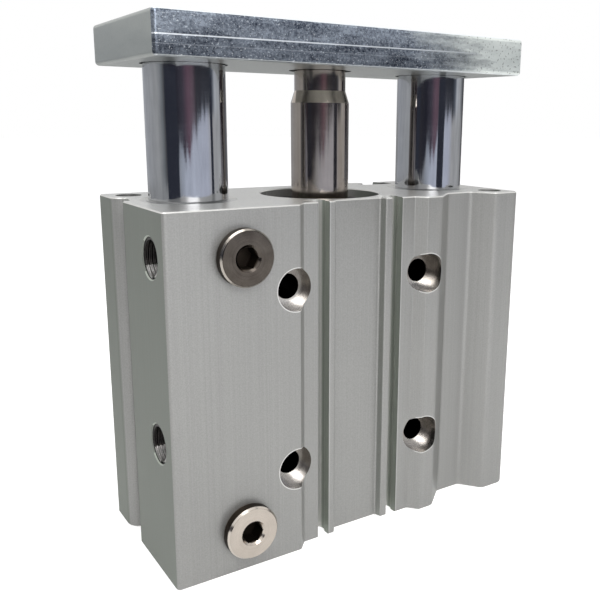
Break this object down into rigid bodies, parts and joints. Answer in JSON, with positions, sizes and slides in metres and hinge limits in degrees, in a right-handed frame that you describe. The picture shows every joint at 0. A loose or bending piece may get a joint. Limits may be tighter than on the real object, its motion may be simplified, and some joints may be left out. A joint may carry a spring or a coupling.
{
  "type": "guided pneumatic cylinder",
  "caption": "Compact guided air cylinder: grooved rectangular housing with a piston rod between guide rods that carry a flat end plate.",
  "frame": {"origin": "centre of the housing's base face, on the piston rod's axis", "axes": "+Z along the stroke, from the base to the end plate; -Y is the port face with the plugs; -X is the narrow side with the open ports"},
  "size_m": [0.11, 0.0511, 0.136],
  "materials": {
    "anodised_housing": "satin anodised, extruded",
    "cover_aluminium": "turned, satin",
    "collar_black": "hard anodised, dark",
    "plated_plate": "milled and zinc plated, fine spangle",
    "hard_chrome": "ground and hard chromed, mirror",
    "rod_steel": "ground stainless steel, polished",
    "ring_steel": "phosphated spring steel, matt black",
    "plug_nickel": "turned, nickel plated, warm",
    "ball_steel": "polished bearing steel",
    "screw_zinc": "zinc plated",
    "bearing_metal": "steel-backed dry bearing",
    "nbr": "moulded nitrile rubber, matt",
    "bumper_urethane": "moulded polyurethane, satin",
    "felt": "pressed wool felt, oiled",
    "magnet": "plastic-bonded magnet",
    "washer_fibre": "hard fibre sealing washer"
  },
  "bodies": {
    "housing": {"cylinder_body": "anodised_housing", "passage_ball": "ball_steel", "head_cover": "cover_aluminium", "head_seal": "nbr", "head_retaining_ring": "ring_steel", "rod_collar": "collar_black", "collar_seal": "nbr", "collar_retaining_ring": "ring_steel", "rod_bush": "bearing_metal", "rod_seal": "nbr", "port_plug_lower": "plug_nickel", "port_plug_upper": "plug_nickel", "plug_washer_lower": "washer_fibre", "plug_washer_upper": "washer_fibre", "guide_bush_lower_left": "bearing_metal", "guide_bush_upper_left": "bearing_metal", "guide_bush_lower_right": "bearing_metal", "guide_bush_upper_right": "bearing_metal", "guide_felt_left": "felt", "guide_felt_right": "felt"},
    "carriage": {"piston": "cover_aluminium", "piston_seal": "nbr", "piston_magnet": "magnet", "piston_gasket": "nbr", "bumper_head_side": "bumper_urethane", "bumper_rod_side": "bumper_urethane", "piston_rod": "rod_steel", "end_plate": "plated_plate", "rod_screw": "screw_zinc", "guide_rod_left": "hard_chrome", "guide_rod_right": "hard_chrome", "guide_screw_left": "screw_zinc", "guide_screw_right": "screw_zinc"}
  },
  "joints": [
    {"name": "carriage_slide", "type": "slide", "parent": "housing", "child": "carriage", "axis": [0, 0, 1], "range_m": [-0.023, 0.027]}
  ]
}
